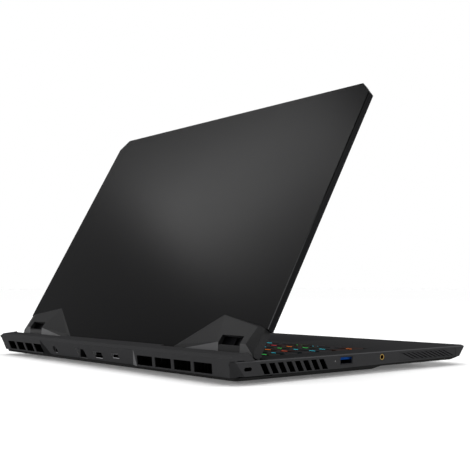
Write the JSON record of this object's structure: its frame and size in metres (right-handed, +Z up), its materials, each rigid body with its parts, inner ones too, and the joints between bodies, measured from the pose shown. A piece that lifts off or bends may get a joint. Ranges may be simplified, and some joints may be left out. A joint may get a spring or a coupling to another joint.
{
  "type": "laptop computer",
  "caption": "Thick gaming laptop with the lid part open, faceted hinge covers, a raised rear shelf with ports and exhaust slots, keyboard, touchpad and cooling fans.",
  "frame": {"origin": "middle of the base's outline, on the desk surface", "axes": "+X to the user's right, +Y to the rear, +Z up"},
  "size_m": [0.358, 0.267, 0.2253],
  "materials": {
    "case_grey": "matt dark grey moulding",
    "floor_black": "matt black moulding",
    "lid_black": "satin black anodised sheet with a brighter cut edge",
    "bezel_black": "matt black moulding",
    "screen": "dark display panel, switched off",
    "rubber_black": "matt rubber",
    "key_black": "matt black caps with coloured light round them",
    "touch_surface": "smooth satin surface",
    "grille_black": "matt black",
    "hinge_black": "blackened steel",
    "socket_steel": "plain steel",
    "fin_aluminium": "blackened metal",
    "copper": null,
    "socket_black": "matt black",
    "jack_gold": "gold coloured ring",
    "circuit_board": "dark laminate",
    "battery_pack": "black wrapped cells",
    "light_white": "white light pipe"
  },
  "bodies": {
    "base": {"audio_jack": "jack_gold", "battery": "battery_pack", "bottom_cover": "floor_black", "bottom_screws": "hinge_black", "cold_plates": "copper", "dc_jack": "socket_black", "fan_housing_left": "grille_black", "fan_housing_right": "grille_black", "hdmi_port": "socket_steel", "heat_pipes": "copper", "hinge_bracket_left": "hinge_black", "hinge_bracket_right": "hinge_black", "keyboard_plate": "bezel_black", "left_port_board": "circuit_board", "mainboard": "circuit_board", "memory_modules": "circuit_board", "network_port": "socket_black", "rear_cover": "case_grey", "rear_fins_left": "fin_aluminium", "rear_fins_right": "fin_aluminium", "rear_port_board": "circuit_board", "right_port_board": "circuit_board", "rubber_feet": "rubber_black", "side_fins_left": "fin_aluminium", "side_fins_right": "fin_aluminium", "speaker_grille_left": "grille_black", "speaker_grille_right": "grille_black", "speaker_left": "grille_black", "speaker_right": "grille_black", "ssd": "circuit_board", "status_light": "light_white", "top_case": "case_grey", "touchpad_bracket": "bezel_black", "usb_a_left": "socket_steel", "usb_a_right": "socket_steel", "usb_c_port": "socket_steel", "wireless_card": "circuit_board"},
    "lid": {"lid_back_cover": "lid_black", "display_bezel": "bezel_black", "display_panel": "screen", "webcam_module": "bezel_black", "bezel_bumpers": "rubber_black", "hinge_arm_left": "hinge_black", "hinge_arm_right": "hinge_black", "hinge_cover_left": "case_grey", "hinge_cover_right": "case_grey"},
    "power_button": {"power_button": "key_black"},
    "touchpad": {"touchpad": "touch_surface"},
    "impeller_left": {"impeller_left": "grille_black"},
    "impeller_right": {"impeller_right": "grille_black"},
    "key_row_1": {"key_row_1": "key_black"},
    "key_row_2": {"key_row_2": "key_black"},
    "key_row_3": {"key_row_3": "key_black"},
    "key_row_4": {"key_row_4": "key_black"},
    "key_row_5": {"key_row_5": "key_black"},
    "key_row_6": {"key_row_6": "key_black"}
  },
  "joints": [
    {"name": "lid_hinge", "type": "hinge", "parent": "base", "child": "lid", "pos_m": [0, 0.1043, 0.0174], "axis": [-1, 0, 0], "range_deg": [-59.8, 70]},
    {"name": "key_row_1_press", "type": "slide", "parent": "base", "child": "key_row_1", "axis": [0, 0, -1], "range_m": [0, 0.0016], "stiffness_N_per_m": 3000, "springref_m": -0.001},
    {"name": "key_row_2_press", "type": "slide", "parent": "base", "child": "key_row_2", "axis": [0, 0, -1], "range_m": [0, 0.0016], "stiffness_N_per_m": 3000, "springref_m": -0.001},
    {"name": "key_row_3_press", "type": "slide", "parent": "base", "child": "key_row_3", "axis": [0, 0, -1], "range_m": [0, 0.0016], "stiffness_N_per_m": 3000, "springref_m": -0.001},
    {"name": "key_row_4_press", "type": "slide", "parent": "base", "child": "key_row_4", "axis": [0, 0, -1], "range_m": [0, 0.0016], "stiffness_N_per_m": 3000, "springref_m": -0.001},
    {"name": "key_row_5_press", "type": "slide", "parent": "base", "child": "key_row_5", "axis": [0, 0, -1], "range_m": [0, 0.0016], "stiffness_N_per_m": 3000, "springref_m": -0.001},
    {"name": "key_row_6_press", "type": "slide", "parent": "base", "child": "key_row_6", "axis": [0, 0, -1], "range_m": [0, 0.0016], "stiffness_N_per_m": 3000, "springref_m": -0.001},
    {"name": "power_button_press", "type": "slide", "parent": "base", "child": "power_button", "axis": [0, 0, -1], "range_m": [0, 0.0016], "stiffness_N_per_m": 300, "springref_m": -0.001},
    {"name": "touchpad_click", "type": "hinge", "parent": "base", "child": "touchpad", "pos_m": [0, -0.043, 0.0158], "axis": [1, 0, 0], "range_deg": [0, 0.5], "stiffness_Nm_per_rad": 4, "springref_deg": -0.46},
    {"name": "fan_left_spin", "type": "hinge", "parent": "base", "child": "impeller_left", "pos_m": [-0.122, 0.06, 0.0075], "axis": [0, 0, 1], "continuous": true},
    {"name": "fan_right_spin", "type": "hinge", "parent": "base", "child": "impeller_right", "pos_m": [0.122, 0.06, 0.0075], "axis": [0, 0, 1], "continuous": true}
  ]
}
